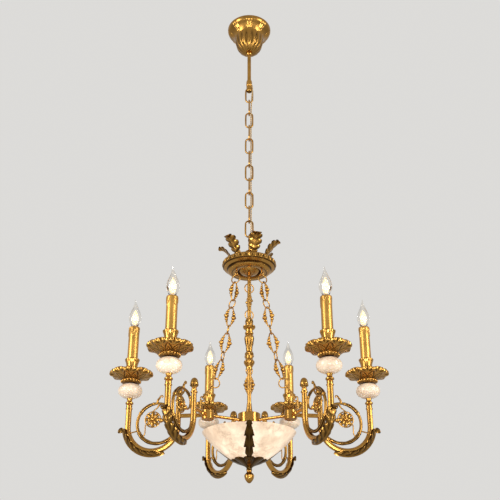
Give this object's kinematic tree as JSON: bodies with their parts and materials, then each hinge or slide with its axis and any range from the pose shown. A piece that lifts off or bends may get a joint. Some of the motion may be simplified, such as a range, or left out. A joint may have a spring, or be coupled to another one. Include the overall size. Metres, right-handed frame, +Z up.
{
  "type": "brass chandelier with alabaster bowl",
  "caption": "Chain-hung brass chandelier with candle arms in pairs, stone balls, leaf drip pans, drape chains and an alabaster bowl under its hub.",
  "frame": {"origin": "in the ceiling plane, on the vertical axis, midway between the two screw holes of the ceiling bracket", "axes": "+Z up into the ceiling, +X along the ceiling bracket to the right, +Y away from the viewer of the picture"},
  "size_m": [0.7476, 0.6634, 1.508],
  "materials": {
    "antique_brass": "satin, aged",
    "dark_brass": "cast, patinated",
    "satin_gold": "satin",
    "alabaster": "honed stone",
    "lamp_glass": "clear",
    "clear_cord": "clear sleeve over wires",
    "white_plastic": "matte",
    "zinc_steel": "zinc plated"
  },
  "bodies": {
    "ceiling_mount": {"ceiling_bracket": "zinc_steel", "stem_nuts": "zinc_steel", "terminal_block": "white_plastic", "canopy_stem": "antique_brass", "stem_clevis": "antique_brass", "clevis_pin": "antique_brass", "supply_cord": "clear_cord"},
    "canopy_cover": {"canopy": "antique_brass", "canopy_collar": "antique_brass"},
    "link_01": {"chain_link_01": "antique_brass"},
    "link_02": {"chain_link_02": "antique_brass"},
    "link_03": {"chain_link_03": "antique_brass"},
    "link_04": {"chain_link_04": "antique_brass"},
    "link_05": {"chain_link_05": "antique_brass"},
    "link_06": {"chain_link_06": "antique_brass"},
    "link_07": {"chain_link_07": "antique_brass"},
    "link_08": {"chain_link_08": "antique_brass"},
    "link_09": {"chain_link_09": "antique_brass"},
    "link_10": {"chain_link_10": "antique_brass"},
    "link_11": {"chain_link_11": "antique_brass"},
    "link_12": {"chain_link_12": "antique_brass"},
    "chandelier": {"crown_loop": "antique_brass", "crown_dish": "antique_brass", "crown_leaves": "dark_brass", "crown_dome": "antique_brass", "chain_eyelets": "antique_brass", "column_rod": "antique_brass", "baluster": "antique_brass", "rod_flare": "antique_brass", "hub_drum": "antique_brass", "hub_spokes": "antique_brass", "arm_bosses": "antique_brass", "arm_pair_back": "antique_brass", "arm_pair_left": "antique_brass", "arm_pair_right": "antique_brass", "leaf_sheaths": "dark_brass", "scrolls": "dark_brass", "acorn_finials": "antique_brass", "post_collars": "antique_brass", "stone_balls": "alabaster", "drip_pans": "dark_brass", "candle_cups": "antique_brass", "candle_sleeves": "satin_gold", "lamp_holders": "white_plastic", "tie_rod": "antique_brass", "bowl_lamp_holders": "white_plastic"},
    "drape_back": {"drape_chain_back": "antique_brass"},
    "drape_left": {"drape_chain_left": "antique_brass"},
    "drape_right": {"drape_chain_right": "antique_brass"},
    "bulb_1": {"candle_bulb_1": "lamp_glass"},
    "bulb_2": {"candle_bulb_2": "lamp_glass"},
    "bulb_3": {"candle_bulb_3": "lamp_glass"},
    "bulb_4": {"candle_bulb_4": "lamp_glass"},
    "bulb_5": {"candle_bulb_5": "lamp_glass"},
    "bulb_6": {"candle_bulb_6": "lamp_glass"},
    "pin_lamps": {"bowl_lamps": "lamp_glass"},
    "bowl": {"alabaster_bowl": "alabaster", "bowl_straps": "dark_brass", "bowl_cup": "dark_brass"},
    "finial": {"bottom_finial": "antique_brass"}
  },
  "joints": [
    {"name": "canopy_slide", "type": "slide", "parent": "ceiling_mount", "child": "canopy_cover", "axis": [0, 0, -1], "range_m": [0, 0.1]},
    {"name": "link_01_swing", "type": "hinge", "parent": "ceiling_mount", "child": "link_01", "pos_m": [0, 0, -0.2551], "axis": [0, 1, 0], "range_deg": [-12, 12], "deforming": ["supply_cord"]},
    {"name": "link_02_swing", "type": "hinge", "parent": "link_01", "child": "link_02", "pos_m": [0, 0, -0.3042], "axis": [1, 0, 0], "range_deg": [-12, 12]},
    {"name": "link_03_swing", "type": "hinge", "parent": "link_02", "child": "link_03", "pos_m": [0, 0, -0.3533], "axis": [0, 1, 0], "range_deg": [-12, 12]},
    {"name": "link_04_swing", "type": "hinge", "parent": "link_03", "child": "link_04", "pos_m": [0, 0, -0.4024], "axis": [1, 0, 0], "range_deg": [-12, 12]},
    {"name": "link_05_swing", "type": "hinge", "parent": "link_04", "child": "link_05", "pos_m": [0, 0, -0.4515], "axis": [0, 1, 0], "range_deg": [-12, 12]},
    {"name": "link_06_swing", "type": "hinge", "parent": "link_05", "child": "link_06", "pos_m": [0, 0, -0.5006], "axis": [1, 0, 0], "range_deg": [-12, 12]},
    {"name": "link_07_swing", "type": "hinge", "parent": "link_06", "child": "link_07", "pos_m": [0, 0, -0.5497], "axis": [0, 1, 0], "range_deg": [-12, 12]},
    {"name": "link_08_swing", "type": "hinge", "parent": "link_07", "child": "link_08", "pos_m": [0, 0, -0.5988], "axis": [1, 0, 0], "range_deg": [-12, 12]},
    {"name": "link_09_swing", "type": "hinge", "parent": "link_08", "child": "link_09", "pos_m": [0, 0, -0.6479], "axis": [0, 1, 0], "range_deg": [-12, 12]},
    {"name": "link_10_swing", "type": "hinge", "parent": "link_09", "child": "link_10", "pos_m": [0, 0, -0.697], "axis": [1, 0, 0], "range_deg": [-12, 12]},
    {"name": "link_11_swing", "type": "hinge", "parent": "link_10", "child": "link_11", "pos_m": [0, 0, -0.7461], "axis": [0, 1, 0], "range_deg": [-12, 12]},
    {"name": "link_12_swing", "type": "hinge", "parent": "link_11", "child": "link_12", "pos_m": [0, 0, -0.7952], "axis": [1, 0, 0], "range_deg": [-12, 12]},
    {"name": "chandelier_swing", "type": "hinge", "parent": "link_12", "child": "chandelier", "pos_m": [0, 0, -0.8443], "axis": [0, 1, 0], "range_deg": [-12, 12]},
    {"name": "drape_back_sway", "type": "hinge", "parent": "chandelier", "child": "drape_back", "pos_m": [0, 0.04211, -0.92562], "axis": [0, 0.2498, -0.9683], "range_deg": [-15, 15]},
    {"name": "drape_left_sway", "type": "hinge", "parent": "chandelier", "child": "drape_left", "pos_m": [-0.03647, -0.02106, -0.92562], "axis": [-0.2164, -0.1249, -0.9683], "range_deg": [-15, 15]},
    {"name": "drape_right_sway", "type": "hinge", "parent": "chandelier", "child": "drape_right", "pos_m": [0.03647, -0.02106, -0.92562], "axis": [0.2164, -0.1249, -0.9683], "range_deg": [-15, 15]},
    {"name": "bulb_1_lift", "type": "slide", "parent": "chandelier", "child": "bulb_1", "axis": [0, 0, 1], "range_m": [0, 0.03]},
    {"name": "bulb_2_lift", "type": "slide", "parent": "chandelier", "child": "bulb_2", "axis": [0, 0, 1], "range_m": [0, 0.03]},
    {"name": "bulb_3_lift", "type": "slide", "parent": "chandelier", "child": "bulb_3", "axis": [0, 0, 1], "range_m": [0, 0.03]},
    {"name": "bulb_4_lift", "type": "slide", "parent": "chandelier", "child": "bulb_4", "axis": [0, 0, 1], "range_m": [0, 0.03]},
    {"name": "bulb_5_lift", "type": "slide", "parent": "chandelier", "child": "bulb_5", "axis": [0, 0, 1], "range_m": [0, 0.03]},
    {"name": "bulb_6_lift", "type": "slide", "parent": "chandelier", "child": "bulb_6", "axis": [0, 0, 1], "range_m": [0, 0.03]},
    {"name": "pin_lamps_pull", "type": "slide", "parent": "chandelier", "child": "pin_lamps", "axis": [0, 0, -1], "range_m": [0, 0.012]},
    {"name": "bowl_lower", "type": "slide", "parent": "chandelier", "child": "bowl", "axis": [0, 0, -1], "range_m": [0, 0.05]},
    {"name": "finial_turn", "type": "hinge", "parent": "bowl", "child": "finial", "pos_m": [0, 0, -1.49], "axis": [0, 0, 1], "continuous": true}
  ]
}
